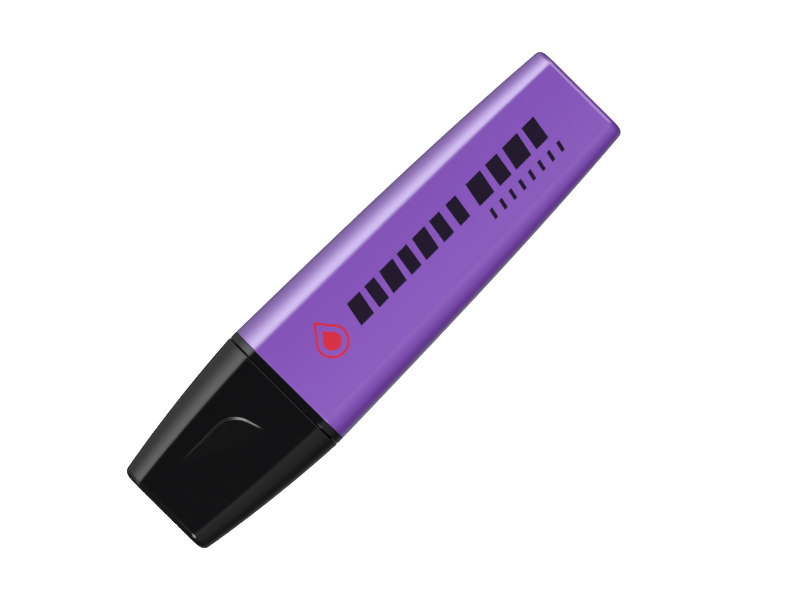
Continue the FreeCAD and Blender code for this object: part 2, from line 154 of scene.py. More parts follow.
def ring(x, section, inset=0.0, **stops):
    """One outline across the pen, moved inwards by an inset."""
    width, thick, corner = section
    points = outline(width - 2 * inset, thick - 2 * inset, corner - inset, **stops)
    return [Vector((x, y, z + AXIS_Z)) for y, z in points]


def grown_box(low, high, grow_by, corner):
    """Section across a straight piece, from its lowest and highest corners, moved outwards all round."""
    return high[1] - low[1] + 2 * grow_by, high[2] - low[2] + 2 * grow_by, corner


def new_object(name, mesh):
    made = bpy.data.objects.new(name, mesh)
    bpy.context.scene.collection.objects.link(made)
    return made


def skin(name, rings, through=False):
    """A closed mesh through rings with equal numbers of points.

    Both end rings get a flat face, or the last ring is joined to the first where a hole goes through.
    """
    count = len(rings[0])
    points = [point for one in rings for point in one]
    faces = []
    for row in range(len(rings) if through else len(rings) - 1):
        here, there = row * count, (row + 1) % len(rings) * count
        for i in range(count):
            j = (i + 1) % count
            faces.append((here + i, here + j, there + j, there + i))
    if not through:
        faces.append(tuple(reversed(range(count))))
        faces.append(tuple(range((len(rings) - 1) * count, len(rings) * count)))
    mesh = bpy.data.meshes.new(name)
    mesh.from_pydata([tuple(point) for point in points], [], faces)
    tidy_mesh(mesh)
    return new_object(name, mesh)


def tidy_mesh(mesh, sharp=math.radians(40)):
    """Outward faces, smooth except over sharp folds."""
    work = bmesh.new()
    work.from_mesh(mesh)
    bmesh.ops.recalc_face_normals(work, faces=work.faces)
    for face in work.faces:
        face.smooth = True
    for edge in work.edges:
        edge.smooth = edge.calc_face_angle(0.0) < sharp
    work.to_mesh(mesh)
    work.free()


def rounded_edge(x, inwards, radius, steps=6, turning=1):
    """(x, inset) pairs of a quarter round between a side and an end face. inwards is +1 or -1 along X.

    turning 1 goes from the side to the end face, and -1 from the end face to the side.
    """
    pairs = []
    for i in range(steps + 1):
        angle = math.pi / 2 * i / steps
        pairs.append((x + inwards * radius * (1 - math.sin(angle)), radius * (1 - math.cos(angle))))
    return pairs if turning > 0 else pairs[::-1]


def make_barrel():
    """The barrel: rim at its front, bowed sides, a rounded tail and a hollow inside."""
    path = [(x, BARREL_WALL) for x in spread(TAIL_X - TAIL_FLOOR, FRONT_X + EDGE_BREAK, 10)]
    path += [(FRONT_X, BARREL_WALL - EDGE_BREAK)]
    path += rounded_edge(FRONT_X, 1, EDGE_BREAK, 4, -1)
    path += [(x, 0) for x in spread(FRONT_X + 0.3 * MM, TAIL_X - TAIL_ROUND - 0.1 * MM, 90)]
    path += rounded_edge(TAIL_X, -1, TAIL_ROUND, 10)
    path += [(TAIL_X, TAIL_ROUND + 0.12 * MM)]
    rings = [ring(x, barrel_section(x), inset, arc=16) for x, inset in path]
    return skin("barrel_shell", rings)


# The finger recess: a floor that slopes down from a diagonal line to a bent step.
RECESS_CORNER = Vector((LIP_X - RECESS_SETBACK, RECESS_OFFSET))
ALONG = Vector((-1, 0))
DOWN = Vector((math.sin(RECESS_SLANT), -math.cos(RECESS_SLANT)))
FADE = RECESS_CORNER + ALONG * RECESS_RUN
HEEL = RECESS_CORNER + DOWN * (RECESS_DROP / math.cos(RECESS_SLANT))
HALF_OPENING = ALONG.angle(DOWN) / 2
BEND_CENTRE = RECESS_CORNER + (ALONG + DOWN).normalized() * (RECESS_BEND / math.sin(HALF_OPENING))
DIAGONAL = (HEEL - FADE).normalized()
ACROSS_DIAGONAL = Vector((-DIAGONAL.y, DIAGONAL.x))
SLOPE_LENGTH = (RECESS_CORNER - FADE).dot(ACROSS_DIAGONAL)


def recess_at(x, y):
    """Depth of the finger recess under the broad face at a place in plan."""
    place = Vector((x, y))
    part_way = (place - FADE).dot(ACROSS_DIAGONAL) / SLOPE_LENGTH
    if part_way <= 0:
        return 0.0
    floor = RECESS_DEPTH * (1 + FLOOR_EASE) * part_way * part_way / (part_way + FLOOR_EASE)
    from_top = RECESS_OFFSET - y
    outward = Vector((-DOWN.y, DOWN.x))
    from_side = -(place - RECESS_CORNER).dot(outward)
    inside = min(from_top, from_side)
    spoke = place - BEND_CENTRE
    if spoke.dot(ALONG) < 0 and spoke.dot(DOWN) < 0:
        inside = RECESS_BEND - spoke.length
    if inside <= 0:
        return 0.0
    rise = min(1.0, inside / RECESS_WALL)
    return floor * rise * rise * (3 - 2 * rise)


def make_cap():
    """The cap's shell, with the finger recess in both broad faces."""
    fine = spread(-0.62, 0.62, 84)
    broad = [-1.0, -0.97] + spread(-0.9, -0.68, 3) + fine + spread(0.68, 0.9, 3) + [0.97, 1.0]
    stops = {"broad": broad, "arc": 14}
    path = rounded_edge(CAP_END_X, 1, CAP_ROUND, 10, -1)
    path = [(CAP_END_X, CAP_ROUND + 0.12 * MM)] + path
    recess_from, recess_to = FADE.x - 0.3 * MM, HEEL.x + 0.5 * MM
    path += [(x, 0) for x in spread(CAP_END_X + CAP_ROUND + 0.1 * MM, recess_from, 14)]
    path += [(x, 0) for x in spread(recess_from, recess_to, 130)[1:]]
    path += [(x, 0) for x in spread(recess_to, LIP_X - LIP_ROUND - 0.1 * MM, 10)[1:]]
    path += rounded_edge(LIP_X, -1, LIP_ROUND)
    outer = len(path)
    path += [(LIP_X, CAP_WALL - EDGE_BREAK)]
    path += [(x, CAP_WALL) for x in spread(LIP_X - EDGE_BREAK, CAP_END_X + CAP_FLOOR, 12)]
    rings = [ring(x, cap_section(x), inset, **stops) for x, inset in path]
    for one in rings[:outer]:
        for point in one:
            half = (cap_section(point.x)[1]) / 2
            level = point.z - AXIS_Z
            if abs(abs(level) - half) < 0.02 * MM:
                side = 1 if level > 0 else -1
                point.z -= side * recess_at(point.x, point.y * side)
    return skin("cap_shell_skin", rings)


def make_front_section():
    """Collar, plug, neck with its snap bead, shoulder, seal and snout with the nib's socket."""
    plug_x = front_high[0]
    snout_x = front_low[0]
    seal_x = snout_x + SNOUT_LENGTH
    shoulder_x = seal_x + SEAL_LENGTH
    neck_x = shoulder_x + SHOULDER_LENGTH
    seat_x = neck_x + SEAT_WALL
    bead_x = LIP_X - BEAD_SETBACK
    seal = grown_box(liner_low, liner_high, -SEAL_INSET, SEAL_CORNER)
    room = grown_box(film_low, film_high, CORE_CLEAR, CORE_ROOM_CORNER)
    socket = grown_box(nib_low, nib_high, SOCKET_CLEAR, SOCKET_CORNER)
    chamber = tuple(size - 2 * CHAMBER_WALL for size in seal[:2]) + (CHAMBER_CORNER,)
    snout_base = tuple(size - 2 * SNOUT_STEP for size in seal[:2]) + (SNOUT_CORNER,)
    snout_tip = tuple(size - 2 * (SNOUT_STEP + SNOUT_DRAFT) for size in seal[:2]) + (SNOUT_CORNER,)
    plug = BARREL_WALL + PLUG_CLEAR

    def neck(x):
        return cap_section(x), CAP_WALL + NECK_CLEAR

    rings = [
        ring(seat_x, room),
        ring(plug_x - EDGE_BREAK, room),
        ring(plug_x, room, -EDGE_BREAK),
        ring(plug_x, barrel_section(plug_x), plug + EDGE_BREAK),
        ring(plug_x - EDGE_BREAK, barrel_section(plug_x), plug),
        ring(FRONT_X, barrel_section(FRONT_X), plug),
        ring(FRONT_X, barrel_section(FRONT_X), EDGE_BREAK * 2),
    ]
    collar = barrel_section(FRONT_X)
    rings += [ring(x, collar, inset) for x, inset in rounded_edge(FRONT_X, -1, EDGE_BREAK, 4, -1)]
    rings += [ring(x, collar, inset) for x, inset in rounded_edge(COLLAR_X, 1, EDGE_BREAK, 4)]
    # the collar's face, then a small fillet where the neck leaves it
    rings.append(ring(COLLAR_X, collar, 0.5 * MM))
    section, inset = neck(COLLAR_X)
    rings += [ring(COLLAR_X, section, inset - 0.2 * MM), ring(COLLAR_X - 0.25 * MM, section, inset)]
    # the snap bead, a low round swelling, in millimetres from its middle
    bead = ((1.3, 0), (0.95, 0.05), (0.65, 0.13), (0.4, 0.16), (0.1, 0.13), (-0.2, 0.05), (-0.5, 0))
    for offset, height in bead:
        section, inset = neck(bead_x + offset * MM)
        rings.append(ring(bead_x + offset * MM, section, inset - height * MM))
    # the neck's front edge turns in, and the shoulder then sweeps down to the sealing land
    for offset, rounding in ((0.9, 0), (0.45, 0.08), (0.15, 0.25), (0, 0.5)):
        section, inset = neck(neck_x + offset * MM)
        rings.append(ring(neck_x + offset * MM, section, inset + rounding * MM))
    width, thick, corner = cap_section(neck_x)
    near = (width - 2 * SHOULDER_INSET, thick - 2 * SHOULDER_INSET, corner - SHOULDER_INSET)
    for part_way in (0.12, 0.3, 0.5, 0.7, 0.86, 0.95):
        share = part_way**SHOULDER_SWEEP
        mixed = tuple(a + (b - a) * share for a, b in zip(near, seal))
        rings.append(ring(neck_x + (shoulder_x - neck_x) * part_way, mixed))
    rings += [ring(shoulder_x, seal), ring(shoulder_x - 0.2 * MM, seal)]
    rings += [ring(x, seal, inset) for x, inset in rounded_edge(seal_x, 1, SEAL_ROUND, 4)]
    rings += [ring(seal_x - 0.1 * MM, snout_base), ring(snout_x + SNOUT_ROUND, snout_tip)]
    rings += [ring(x, snout_tip, inset) for x, inset in rounded_edge(snout_x, 1, SNOUT_ROUND, 4)]
    rings.append(ring(snout_x, socket, -SOCKET_LEAD))
    rings += [ring(x, socket) for x in (snout_x + SOCKET_LEAD, seal_x)]
    rings += [ring(x, chamber) for x in (seal_x, seat_x)]
    made = skin("front_section_skin", rings, through=True)
    cut_vents(made, snout_x, seal_x, socket[0] / 2)
    return made


def cut_vents(made, start_x, end_x, nib_side):
    """Cuts the two air slots, one beside each edge of the nib."""
    slots = bmesh.new()
    for side in (-1, 1):
        slot = bmesh.ops.create_cube(slots, size=1)["verts"]
        for vert in slot:
            vert.co.x = (start_x + end_x) / 2 + vert.co.x * (end_x - start_x + 0.5 * MM)
            vert.co.y = side * (nib_side + VENT_WIDTH / 2) + vert.co.y * (VENT_WIDTH + 0.2 * MM)
            vert.co.z = AXIS_Z + vert.co.z * VENT_WIDTH
    mesh = bpy.data.meshes.new("vent_slots")
    slots.to_mesh(mesh)
    slots.free()
    cutter = new_object("vent_slots", mesh)
    cut = made.modifiers.new("vents", "BOOLEAN")
    cut.operation, cut.object, cut.solver = "DIFFERENCE", cutter, "EXACT"
    shaped = bpy.data.meshes.new_from_object(made.evaluated_get(bpy.context.evaluated_depsgraph_get()))
    made.modifiers.clear()
    made.data = shaped
    tidy_mesh(made.data)
    bpy.data.objects.remove(cutter)


def make_nib():
    """The chisel nib: slanted edge, two bevels, and edges softened as cut felt is."""
    half_width, half_thick = (nib_high[1] - nib_low[1]) / 2, (nib_high[2] - nib_low[2]) / 2
    tip_x, end_x = nib_low[0], nib_high[0]
    slant = math.tan(NIB_SLANT)
    bevel_end_y = -half_width + NIB_BEVEL / slant
    corners = []
    for side in (-1, 1):
        corners += [
            (tip_x, -half_width, side * NIB_EDGE / 2),
            (tip_x + NIB_BEVEL, -half_width, side * half_thick),
            (tip_x + NIB_BEVEL, bevel_end_y, side * half_thick),
            (tip_x + 2 * half_width * slant, half_width, side * half_thick),
            (end_x, -half_width, side * half_thick),
            (end_x, half_width, side * half_thick),
        ]
    work = bmesh.new()
    for x, y, z in corners:
        work.verts.new((x, y, z + AXIS_Z))
    bmesh.ops.convex_hull(work, input=work.verts)
    bmesh.ops.dissolve_limit(work, angle_limit=math.radians(1), verts=work.verts, edges=work.edges)
    bmesh.ops.bevel(work, geom=work.edges, offset=NIB_SOFTNESS, segments=4, profile=0.6, affect="EDGES")
    mesh = bpy.data.meshes.new("nib_felt")
    work.to_mesh(mesh)
    work.free()
    tidy_mesh(mesh)
    return new_object("nib_felt", mesh)


barrel = make_barrel()
cap = make_cap()
front_section = make_front_section()
nib = make_nib()


# -------------------------------------------------------------------------------------- printed marks
FACE_TILT = math.atan((BODY_THICK - TAIL_THICK) / 2 / (TAIL_X - FRONT_X))
PRINT_LIFT, PRINT_DEPTH = 0.012 * MM, 0.03 * MM


def face_height(x):
    """Height of the barrel's upper broad face at a place along the pen."""
    return AXIS_Z + barrel_section(x)[1] / 2


def lay_on_face(made, x, y):
    """Lays a flat mark, drawn about its own origin, on the upper broad face."""
    cos, sin = math.cos(FACE_TILT), math.sin(FACE_TILT)
    top = face_height(x) + PRINT_LIFT
    for vert in made.data.vertices:
        along, across, up = vert.co
        vert.co = (x + along * cos + up * sin, y + across, top - along * sin + up * cos)


def new_tree(name, **defaults):
    """A geometry tree with a number input for each named size. Count is a whole number."""
    tree = bpy.data.node_groups.new(name, "GeometryNodeTree")
    for label, default in defaults.items():
        kind = "NodeSocketInt" if label == "Count" else "NodeSocketFloat"
        socket = tree.interface.new_socket(label, in_out="INPUT", socket_type=kind)
        socket.default_value = default
    tree.interface.new_socket("Geometry", in_out="OUTPUT", socket_type="NodeSocketGeometry")
    return tree, tree.nodes, tree.links, tree.nodes.new("NodeGroupInput"), tree.nodes.new("NodeGroupOutput")


def sum_of(tree, kind, *terms):
    """A math node on up to three terms, each a number or another node's output."""
    node = tree.nodes.new("ShaderNodeMath")
    node.operation = kind
    for socket, term in zip(node.inputs, terms):
        if isinstance(term, (int, float)):
            socket.default_value = term
        else:
            tree.links.new(term, socket)
    return node.outputs[0]


def stand_and_paint(tree, points, piece, material, outputs):
    """Ends a tree: copies of a piece on points, made real and given their material."""
    stand = tree.nodes.new("GeometryNodeInstanceOnPoints")
    real = tree.nodes.new("GeometryNodeRealizeInstances")
    paint = tree.nodes.new("GeometryNodeSetMaterial")
    paint.inputs["Material"].default_value = material
    tree.links.new(points, stand.inputs["Points"])
    tree.links.new(piece, stand.inputs["Instance"])
    tree.links.new(stand.outputs["Instances"], real.inputs["Geometry"])
    tree.links.new(real.outputs["Geometry"], paint.inputs["Geometry"])
    tree.links.new(paint.outputs["Geometry"], outputs.inputs["Geometry"])
    return stand


def row_of_strokes(name, material):
    """A tree that stands slanted strokes in a row along X, some narrower, from the first one's middle."""
    tree, nodes, links, inputs, outputs = new_tree(
        name, Count=4, Pitch=1.0, Width=1.0, Height=1.0, Slant=0.2, Depth=0.1, Vary=0.0,
    )

    size = nodes.new("ShaderNodeCombineXYZ")
    stroke = nodes.new("GeometryNodeMeshCube")
    for source, target in (("Width", "X"), ("Height", "Y"), ("Depth", "Z")):
        links.new(inputs.outputs[source], size.inputs[target])
    links.new(size.outputs[0], stroke.inputs["Size"])

    # each stroke leans: its points move along X by a share of their own Y
    place = nodes.new("GeometryNodeInputPosition")
    parts = nodes.new("ShaderNodeSeparateXYZ")
    lean = nodes.new("ShaderNodeMath")
    lean.operation = "MULTIPLY"
    shift = nodes.new("ShaderNodeCombineXYZ")
    slanted = nodes.new("GeometryNodeSetPosition")
    links.new(place.outputs[0], parts.inputs[0])
    links.new(parts.outputs["Y"], lean.inputs[0])
    links.new(inputs.outputs["Slant"], lean.inputs[1])
    links.new(lean.outputs[0], shift.inputs["X"])
    links.new(stroke.outputs["Mesh"], slanted.inputs["Geometry"])
    links.new(shift.outputs[0], slanted.inputs["Offset"])

    step = nodes.new("ShaderNodeCombineXYZ")
    line = nodes.new("GeometryNodeMeshLine")
    line.mode = "OFFSET"
    links.new(inputs.outputs["Pitch"], step.inputs["X"])
    links.new(inputs.outputs["Count"], line.inputs["Count"])
    links.new(step.outputs[0], line.inputs["Offset"])

    stand = stand_and_paint(tree, line.outputs["Mesh"], slanted.outputs["Geometry"], material, outputs)
    narrower = nodes.new("FunctionNodeRandomValue")
    narrower.data_type = "FLOAT"
    narrower.inputs["Seed"].default_value = 4
    scale = nodes.new("ShaderNodeCombineXYZ")
    links.new(sum_of(tree, "SUBTRACT", 1.0, inputs.outputs["Vary"]), narrower.inputs[2])
    links.new(narrower.outputs[1], scale.inputs["X"])
    scale.inputs["Y"].default_value = scale.inputs["Z"].default_value = 1
    links.new(scale.outputs[0], stand.inputs["Scale"])
    return tree


def ribs_about_axis(name, material):
    """A tree that stands ribs around the pen's axis, evenly turned, from the start of a part's inside.

    Each rib runs along X for its length. It stands out from Near to Reach, which grows by Flare per
    length, and Aside moves it along its own width.
    """
    tree, nodes, links, inputs, outputs = new_tree(
        name, Count=2, Turn=0.0, Length=1.0, Near=0.5, Reach=1.0, Flare=0.0, Thick=0.1, Aside=0.0,
    )
    sizes = inputs.outputs
    cube = nodes.new("GeometryNodeMeshCube")
    place, parts = nodes.new("GeometryNodeInputPosition"), nodes.new("ShaderNodeSeparateXYZ")
    links.new(place.outputs[0], parts.inputs[0])
    along = sum_of(tree, "MULTIPLY", sum_of(tree, "ADD", parts.outputs["X"], 0.5), sizes["Length"])
    far = sum_of(tree, "MULTIPLY_ADD", along, sizes["Flare"], sizes["Reach"])
    share = sum_of(tree, "ADD", parts.outputs["Y"], 0.5)
    out = sum_of(tree, "MULTIPLY_ADD", sum_of(tree, "SUBTRACT", far, sizes["Near"]), share, sizes["Near"])
    aside = sum_of(tree, "MULTIPLY_ADD", parts.outputs["Z"], sizes["Thick"], sizes["Aside"])
    corner, shaped = nodes.new("ShaderNodeCombineXYZ"), nodes.new("GeometryNodeSetPosition")
    for socket, source in zip(corner.inputs, (along, out, aside)):
        links.new(source, socket)
    links.new(cube.outputs["Mesh"], shaped.inputs["Geometry"])
    links.new(corner.outputs[0], shaped.inputs["Position"])

    points, index = nodes.new("GeometryNodeMeshLine"), nodes.new("GeometryNodeInputIndex")
    points.mode = "OFFSET"
    points.inputs["Offset"].default_value = (0, 0, 0)
    links.new(sizes["Count"], points.inputs["Count"])
    step = sum_of(tree, "DIVIDE", 2 * math.pi, sizes["Count"])
    turn, spin = nodes.new("ShaderNodeCombineXYZ"), nodes.new("FunctionNodeEulerToRotation")
    links.new(sum_of(tree, "MULTIPLY_ADD", index.outputs[0], step, sizes["Turn"]), turn.inputs["X"])
    links.new(turn.outputs[0], spin.inputs[0])
    stand = stand_and_paint(tree, points.outputs["Mesh"], shaped.outputs["Geometry"], material, outputs)
    links.new(spin.outputs[0], stand.inputs["Rotation"])
    return tree


def grow(name, tree, **values):
    """The plain mesh that a tree makes with these inputs."""
    carrier = new_object(name, bpy.data.meshes.new(f"{name}_start"))
    modifier = carrier.modifiers.new("tree", "NODES")
    modifier.node_group = tree
    for item in tree.interface.items_tree:
        if item.in_out == "INPUT" and item.name in values:
            modifier[item.identifier] = values[item.name]
    evaluated = carrier.evaluated_get(bpy.context.evaluated_depsgraph_get())
    mesh = bpy.data.meshes.new_from_object(evaluated)
    mesh.name = name
    bpy.data.objects.remove(carrier)
    return new_object(name, mesh)


def drop_outline(radius, point_reach, steps=48):
    """An ink drop in plan: a circle drawn out to a point at its top."""
    points = []
    for i in range(steps):
        angle = math.pi / 2 + 2 * math.pi * i / steps
        pull = max(0.0, math.sin(angle)) ** 3
        narrow = 1 - 0.42 * pull
        reach = radius + (point_reach - radius) * max(0.0, math.sin(angle)) ** 6
        points.append((radius * math.cos(angle) * narrow, reach * math.sin(angle)))
    return points


def plate(name, outer, inner=None):
    """A thin flat mark from an outline, with a hole if an inner outline is given."""
    work = bmesh.new()
    edges = (outer, inner) if inner else (outer,)
    top, bottom = (
        [[work.verts.new((x, y, level)) for x, y in edge] for edge in edges] for level in (0, -PRINT_DEPTH)
    )
    bands = list(zip(top, bottom))
    if inner:
        bands += [top, bottom]
    else:
        work.faces.new(top[0])
        work.faces.new(bottom[0])
    for here, there in bands:
        for i in range(len(here)):
            j = (i + 1) % len(here)
            work.faces.new((here[i], here[j], there[j], there[i]))
    bmesh.ops.recalc_face_normals(work, faces=work.faces)
    mesh = bpy.data.meshes.new(name)
    work.to_mesh(mesh)
    work.free()
    return new_object(name, mesh)


# ------------------------------------------------------------------------------------------ materials
def group_socket(tree, label, kind, default=None, way="INPUT"):
    socket = tree.interface.new_socket(label, in_out=way, socket_type=kind)
    if default is not None:
        socket.default_value = default
    return socket


def moulded_surface():
    """Shader group for moulded plastic: slow colour drift, faint orange peel and fine scuffs."""
    tree = bpy.data.node_groups.new("moulded_surface", "ShaderNodeTree")
    group_socket(tree, "Colour", "NodeSocketColor", (0.5, 0.5, 0.5, 1))
    group_socket(tree, "Drift", "NodeSocketFloat", 0.05)
    group_socket(tree, "Gloss", "NodeSocketFloat", 0.3)
    group_socket(tree, "Scuffs", "NodeSocketFloat", 0.1)
    group_socket(tree, "Peel", "NodeSocketFloat", 0.05)
    group_socket(tree, "Colour", "NodeSocketColor", way="OUTPUT")
    group_socket(tree, "Roughness", "NodeSocketFloat", way="OUTPUT")
    group_socket(tree, "Height", "NodeSocketFloat", way="OUTPUT")
    nodes, links = tree.nodes, tree.links
    inputs = nodes.new("NodeGroupInput")
    outputs = nodes.new("NodeGroupOutput")
    coords = nodes.new("ShaderNodeTexCoord")

    flow = nodes.new("ShaderNodeTexNoise")
    flow.inputs["Scale"].default_value = 55
    flow.inputs["Detail"].default_value = 2
    links.new(coords.outputs["Object"], flow.inputs["Vector"])
    swing = nodes.new("ShaderNodeMapRange")
    swing.inputs["To Min"].default_value = -1
    swing.inputs["To Max"].default_value = 1
    links.new(flow.outputs["Fac"], swing.inputs["Value"])
    drift = nodes.new("ShaderNodeMath")
    drift.operation = "MULTIPLY_ADD"
    drift.inputs[2].default_value = 1
    links.new(swing.outputs["Result"], drift.inputs[0])
    links.new(inputs.outputs["Drift"], drift.inputs[1])
    tint = nodes.new("ShaderNodeVectorMath")
    tint.operation = "SCALE"
    links.new(inputs.outputs["Colour"], tint.inputs[0])
    links.new(drift.outputs[0], tint.inputs["Scale"])
    links.new(tint.outputs[0], outputs.inputs["Colour"])

    # scuffs: long thin marks along the pen that show only in places
    stretch = nodes.new("ShaderNodeMapping")
    stretch.inputs["Scale"].default_value = (180, 2600, 2600)
    stretch.inputs["Rotation"].default_value = (0, 0, 0.35)
    links.new(coords.outputs["Object"], stretch.inputs["Vector"])
    marks = nodes.new("ShaderNodeTexNoise")
    marks.inputs["Scale"].default_value = 1
    marks.inputs["Detail"].default_value = 3
    links.new(stretch.outputs[0], marks.inputs["Vector"])
    thin = nodes.new("ShaderNodeMapRange")
    thin.inputs["From Min"].default_value = 0.62
    thin.inputs["From Max"].default_value = 0.72
    links.new(marks.outputs["Fac"], thin.inputs["Value"])
    scuffed = nodes.new("ShaderNodeMath")
    scuffed.operation = "MULTIPLY"
    links.new(thin.outputs["Result"], scuffed.inputs[0])
    links.new(inputs.outputs["Scuffs"], scuffed.inputs[1])
    dull = nodes.new("ShaderNodeMath")
    dull.operation = "ADD"
    links.new(inputs.outputs["Gloss"], dull.inputs[0])
    links.new(scuffed.outputs[0], dull.inputs[1])
    links.new(dull.outputs[0], outputs.inputs["Roughness"])

    peel = nodes.new("ShaderNodeTexNoise")
    peel.inputs["Scale"].default_value = 900
    peel.inputs["Detail"].default_value = 1
    links.new(coords.outputs["Object"], peel.inputs["Vector"])
    raised = nodes.new("ShaderNodeMath")
    raised.operation = "MULTIPLY"
    links.new(peel.outputs["Fac"], raised.inputs[0])
    links.new(inputs.outputs["Peel"], raised.inputs[1])
    links.new(raised.outputs[0], outputs.inputs["Height"])
    return tree


MOULDED = moulded_surface()


def new_material(name):
    """An empty material with its Principled shader."""
    made = bpy.data.materials.new(name)
    made.use_nodes = True
    return made, made.node_tree.nodes, made.node_tree.links, made.node_tree.nodes["Principled BSDF"]


def plastic(
    name, colour, drift=0.03, gloss=0.3, scuffs=0.1, peel=0.3, coat=0.0, bending=1.5, clear=0.2, sheen=0.0
):
    """Moulded plastic in one colour. A clear outer layer is as strong as coat and as rough as clear."""
    made, nodes, links, shader = new_material(name)
    surface = nodes.new("ShaderNodeGroup")
    surface.node_tree = MOULDED
    surface.inputs["Colour"].default_value = (*colour, 1)
    for label, value in (("Drift", drift), ("Gloss", gloss), ("Scuffs", scuffs), ("Peel", peel)):
        surface.inputs[label].default_value = value
    bump = nodes.new("ShaderNodeBump")
    bump.inputs["Distance"].default_value = 0.01 * MM
    links.new(surface.outputs["Colour"], shader.inputs["Base Color"])
    links.new(surface.outputs["Roughness"], shader.inputs["Roughness"])
    links.new(surface.outputs["Height"], bump.inputs["Height"])
    links.new(bump.outputs["Normal"], shader.inputs["Normal"])
    shader.inputs["Coat Weight"].default_value = coat
    shader.inputs["Coat Roughness"].default_value = clear
    shader.inputs["IOR"].default_value = bending
    shader.inputs["Sheen Weight"].default_value = sheen
    shader.inputs["Sheen Roughness"].default_value = 0.35
    return made


def fibre(name, colour, dark, scale, along):
    """Porous felt or bundled fibre, wet with ink: fine strands along the pen with dark pores."""
    made, nodes, links, shader = new_material(name)
    coords = nodes.new("ShaderNodeTexCoord")
    stretch = nodes.new("ShaderNodeMapping")
    stretch.inputs["Scale"].default_value = (scale * along, scale, scale)
    links.new(coords.outputs["Object"], stretch.inputs["Vector"])
    strands = nodes.new("ShaderNodeTexNoise")
    strands.inputs["Scale"].default_value = 1
    strands.inputs["Detail"].default_value = 4
    links.new(stretch.outputs[0], strands.inputs["Vector"])
    contrast = nodes.new("ShaderNodeMapRange")
    contrast.inputs["From Min"].default_value = 0.35
    contrast.inputs["From Max"].default_value = 0.65
    links.new(strands.outputs["Fac"], contrast.inputs["Value"])
    blend = nodes.new("ShaderNodeMix")
    blend.data_type = "RGBA"
    blend.inputs["A"].default_value = (*dark, 1)
    blend.inputs["B"].default_value = (*colour, 1)
    links.new(contrast.outputs["Result"], blend.inputs["Factor"])
    links.new(blend.outputs["Result"], shader.inputs["Base Color"])
    bump = nodes.new("ShaderNodeBump")
    bump.inputs["Distance"].default_value = 0.08 * MM
    links.new(contrast.outputs["Result"], bump.inputs["Height"])
    links.new(bump.outputs["Normal"], shader.inputs["Normal"])
    shader.inputs["Roughness"].default_value = 0.62
    shader.inputs["Sheen Weight"].default_value = 0.15
    return made


def ink(name, colour):
    """Screen-printed ink: slightly uneven cover."""
    made, nodes, links, shader = new_material(name)
    coords = nodes.new("ShaderNodeTexCoord")
    specks = nodes.new("ShaderNodeTexNoise")
    specks.inputs["Scale"].default_value = 2200
    specks.inputs["Detail"].default_value = 2
    links.new(coords.outputs["Object"], specks.inputs["Vector"])
    blend = nodes.new("ShaderNodeMix")
    blend.data_type = "RGBA"
    blend.inputs["A"].default_value = (*[part * 0.8 for part in colour], 1)
    blend.inputs["B"].default_value = (*[min(1, part * 1.2) for part in colour], 1)
    links.new(specks.outputs["Fac"], blend.inputs["Factor"])
    links.new(blend.outputs["Result"], shader.inputs["Base Color"])
    shader.inputs["Roughness"].default_value = 0.25
    shader.inputs["IOR"].default_value = 1.28
    return made


purple = plastic(
    "purple_moulding", (0.08, 0.0085, 0.206),
    gloss=0.28, scuffs=0.03, peel=0.25, coat=1.0, bending=1.95, clear=0.14, sheen=0.1,
)
black = plastic("black_moulding", (0.0012, 0.0012, 0.0015), drift=0.1, gloss=0.13, scuffs=0.03, bending=1.43)
liner_black = plastic("liner_moulding", (0.02, 0.02, 0.022), drift=0.08, gloss=0.5, scuffs=0.05, peel=0.5)
felt = fibre("violet_felt", (0.2, 0.045, 0.42), (0.1, 0.02, 0.26), 5200, 0.5)
bundle = fibre("ink_fibre", (0.24, 0.06, 0.5), (0.12, 0.02, 0.3), 3800, 0.06)
film = plastic("clear_film", (0.72, 0.7, 0.76), drift=0.02, gloss=0.15, scuffs=0.1, peel=0.1)
black_ink = ink("black_ink", (0.004, 0.0015, 0.008))
red_ink = ink("red_ink", (0.28, 0.009, 0.02))


# ------------------------------------------------------------------------------- marks and ribs placed
# How much of its pitch a stroke fills, its height across the pen, and where its middle lies.
BAR_SHARE, BAR_HEIGHT, BAR_Y = 0.86, 4.5 * MM, 0.6 * MM
DASH_SHARE, DASH_HEIGHT, DASH_Y = 0.3, 1.9 * MM, -4.25 * MM
STROKE_SLANT = 0.22
# An ink drop's outlines, each as the radius of its round end and the reach of its point.
DROP_OUTSIDE, DROP_INSIDE, DROP_MIDDLE = (3.1 * MM, 4.6 * MM), (2.65 * MM, 3.9 * MM), (1.7 * MM, 2.4 * MM)
DROP_X, DROP_Y = -10.0 * MM, 0.1 * MM

strokes = row_of_strokes("row_of_strokes", black_ink)


def stroke_row(name, start, end, count, share, height, y, vary=0.0):
    """A row of slanted strokes on the barrel, between two places along it."""
    pitch = (end - start) / (count - 1 + share)
    made = grow(
        name, strokes, Count=count, Pitch=pitch, Width=pitch * share, Height=height,
        Slant=STROKE_SLANT, Depth=PRINT_DEPTH, Vary=vary,
    )
    lay_on_face(made, start + pitch * share / 2, y)
    return made


marks = [
    stroke_row("print_bars_front", -4.2 * MM, 23.6 * MM, 7, BAR_SHARE, BAR_HEIGHT, BAR_Y, vary=0.35),
    stroke_row("print_bars_rear", 25.4 * MM, 43.1 * MM, 4, BAR_SHARE, BAR_HEIGHT, BAR_Y, vary=0.3),
    stroke_row("print_dashes", 25.6 * MM, 43.0 * MM, 8, DASH_SHARE, DASH_HEIGHT, DASH_Y),
]
drop_rim = plate("print_drop_rim", drop_outline(*DROP_OUTSIDE), drop_outline(*DROP_INSIDE))
drop_fill = plate("print_drop_fill", drop_outline(*DROP_MIDDLE))
for made in (drop_rim, drop_fill):
    lay_on_face(made, DROP_X, DROP_Y)

ribs = ribs_about_axis("ribs_about_axis", purple)


